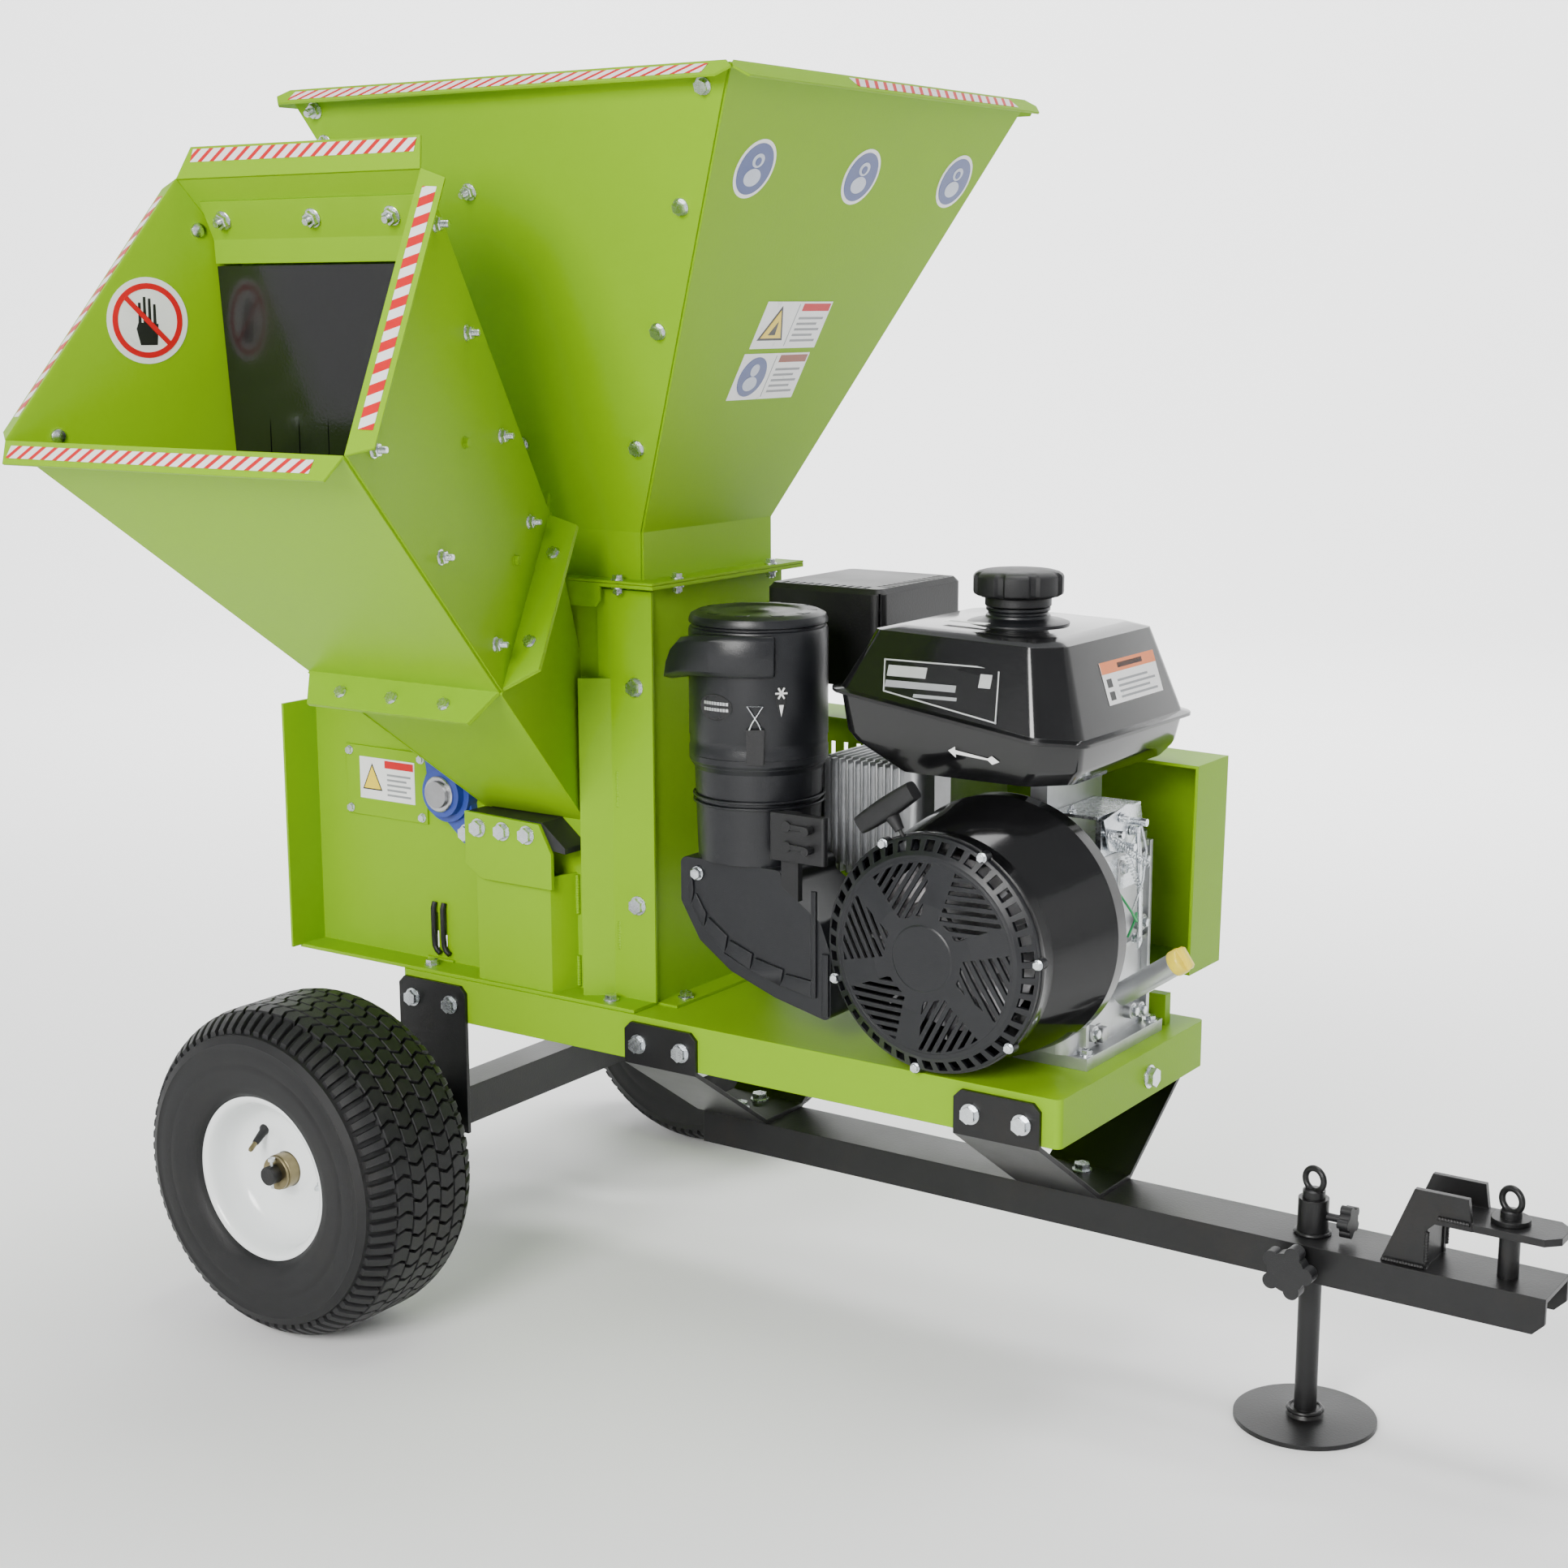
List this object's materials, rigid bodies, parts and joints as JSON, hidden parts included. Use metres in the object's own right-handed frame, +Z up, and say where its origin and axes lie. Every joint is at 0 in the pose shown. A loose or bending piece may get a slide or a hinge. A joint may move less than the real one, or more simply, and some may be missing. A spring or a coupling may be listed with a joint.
{
  "type": "wood chipper",
  "caption": "Towable petrol wood chipper and shredder with a top hopper, a side chute, belt drive, turf wheels, jack leg and pin hitch.",
  "frame": {"origin": "on the ground under the middle of the overall box", "axes": "+X towards the hitch, +Y towards the belt side, away from the chute, +Z up"},
  "size_m": [1.837, 1.383, 1.6474],
  "materials": {
    "lime_paint": "powder coat",
    "black_paint": "satin",
    "white_paint": "gloss",
    "tyre_rubber": "matte",
    "zinc": "bright zinc",
    "tool_steel": "ground",
    "plain_steel": "turned",
    "cast_steel": "cast",
    "blue_casting": "painted",
    "curtain_rubber": "gloss",
    "belt_rubber": "matte",
    "engine_alloy": "cast",
    "tank_black": "gloss",
    "engine_black": "gloss",
    "black_plastic": "matte",
    "gloss_plastic": "gloss",
    "yellow_plastic": "gloss"
  },
  "bodies": {
    "chassis": {"axle": "black_paint", "base_tray": "lime_paint", "axle_hangers": "black_paint", "cross_members": "black_paint", "drawbar": "black_paint", "housing_near_plate": "lime_paint", "housing_far_plate": "lime_paint", "housing_front_plate": "lime_paint", "housing_wrap": "lime_paint", "neck_frame": "lime_paint", "access_cover": "lime_paint", "anvil_bracket": "lime_paint", "bed_knife": "tool_steel", "bearings": "blue_casting", "screen": "plain_steel", "drive_belt": "belt_rubber", "belt_guard": "lime_paint", "hopper_side_panels": "lime_paint", "hopper_end_panels": "lime_paint", "chute_sides": "lime_paint", "chute_floor": "lime_paint", "chute_top": "lime_paint", "chute_transition": "lime_paint", "curtain_clamp": "lime_paint", "crankcase": "engine_alloy", "blower_housing": "engine_black", "recoil_cover": "engine_black", "fuel_tank": "tank_black", "muffler_guard": "black_paint", "muffler": "cast_steel", "air_cleaner": "gloss_plastic", "rain_hood": "gloss_plastic", "intake_elbow": "gloss_plastic", "control_panel": "black_plastic", "governor_bracket": "zinc", "chassis_fasteners": "zinc", "body_fasteners": "zinc"},
    "near_wheel": {"near_tyre": "tyre_rubber", "near_rim": "white_paint"},
    "far_wheel": {"far_tyre": "tyre_rubber", "far_rim": "white_paint"},
    "rotor": {"rotor_shaft": "plain_steel", "flywheel_disc": "plain_steel", "chipper_knives": "tool_steel", "hammer_carrier": "plain_steel", "rotor_pulley": "cast_steel"},
    "top_hammers": {"hammers_1": "tool_steel"},
    "bottom_hammers": {"hammers_2": "tool_steel"},
    "crank": {"crankshaft": "plain_steel", "engine_clutch": "cast_steel"},
    "pull_handle": {"pull_handle": "black_plastic"},
    "fuel_cap": {"fuel_cap": "black_plastic"},
    "dipstick": {"dipstick": "yellow_plastic"},
    "jack_leg": {"jack_leg": "black_paint"},
    "jack_knob": {"jack_knob": "black_plastic"},
    "collar_knob": {"collar_knob": "black_plastic"},
    "hitch_pin": {"hitch_pin": "black_paint"},
    "throttle_lever": {"throttle_lever": "black_plastic"},
    "choke_lever": {"choke_lever": "black_plastic"},
    "curtain": {"curtain": "curtain_rubber"}
  },
  "joints": [
    {"name": "near_wheel_spin", "type": "hinge", "parent": "chassis", "child": "near_wheel", "pos_m": [-0.6425, -0.3505, 0.2285], "axis": [0, 1, 0], "continuous": true},
    {"name": "far_wheel_spin", "type": "hinge", "parent": "chassis", "child": "far_wheel", "pos_m": [-0.6425, 0.58751, 0.2285], "axis": [0, 1, 0], "continuous": true},
    {"name": "rotor_spin", "type": "hinge", "parent": "chassis", "child": "rotor", "pos_m": [-0.6425, 0.1185, 0.69], "axis": [0, 1, 0], "continuous": true},
    {"name": "top_hammer_swing", "type": "hinge", "parent": "rotor", "child": "top_hammers", "pos_m": [-0.6425, 0.1185, 0.82], "axis": [0, 1, 0], "continuous": true},
    {"name": "bottom_hammer_swing", "type": "hinge", "parent": "rotor", "child": "bottom_hammers", "pos_m": [-0.6425, 0.1185, 0.56], "axis": [0, 1, 0], "continuous": true},
    {"name": "crank_spin", "type": "hinge", "parent": "chassis", "child": "crank", "pos_m": [0.1865, 0.1185, 0.585], "axis": [0, 1, 0], "continuous": true},
    {"name": "starter_pull", "type": "slide", "parent": "chassis", "child": "pull_handle", "axis": [-0.5708, 0, 0.8211], "range_m": [0, 0.12], "stiffness_N_per_m": 60, "springref_m": -0.05},
    {"name": "fuel_cap_turn", "type": "hinge", "parent": "chassis", "child": "fuel_cap", "pos_m": [0.1795, 0.12451, 1], "axis": [0, 0, 1], "range_deg": [0, 120]},
    {"name": "dipstick_draw", "type": "slide", "parent": "chassis", "child": "dipstick", "axis": [0.8211, 0, 0.5708], "range_m": [0, 0.06]},
    {"name": "jack_height", "type": "slide", "parent": "chassis", "child": "jack_leg", "axis": [0, 0, 1], "range_m": [0, 0.18]},
    {"name": "jack_knob_turn", "type": "hinge", "parent": "chassis", "child": "jack_knob", "pos_m": [0.6095, 0.0685, 0.222], "axis": [0, 1, 0], "range_deg": [-180, 180]},
    {"name": "collar_knob_turn", "type": "hinge", "parent": "chassis", "child": "collar_knob", "pos_m": [0.6375, 0.1185, 0.272], "axis": [1, 0, 0], "range_deg": [-180, 180]},
    {"name": "hitch_pin_lift", "type": "slide", "parent": "chassis", "child": "hitch_pin", "axis": [0, 0, 1], "range_m": [0, 0.12]},
    {"name": "throttle_turn", "type": "hinge", "parent": "chassis", "child": "throttle_lever", "pos_m": [-0.0265, -0.0995, 0.722], "axis": [0, -1, 0], "range_deg": [0, 25]},
    {"name": "choke_turn", "type": "hinge", "parent": "chassis", "child": "choke_lever", "pos_m": [-0.0265, -0.0995, 0.696], "axis": [0, -1, 0], "range_deg": [-25, 0]},
    {"name": "curtain_swing", "type": "hinge", "parent": "chassis", "child": "curtain", "pos_m": [-0.4935, -0.40999, 1.42], "axis": [1, 0, 0], "range_deg": [-5, 20]}
  ],
  "couplings": [
    {"joint": "crank_spin", "follows": "rotor_spin", "ratio": 1.5833}
  ]
}
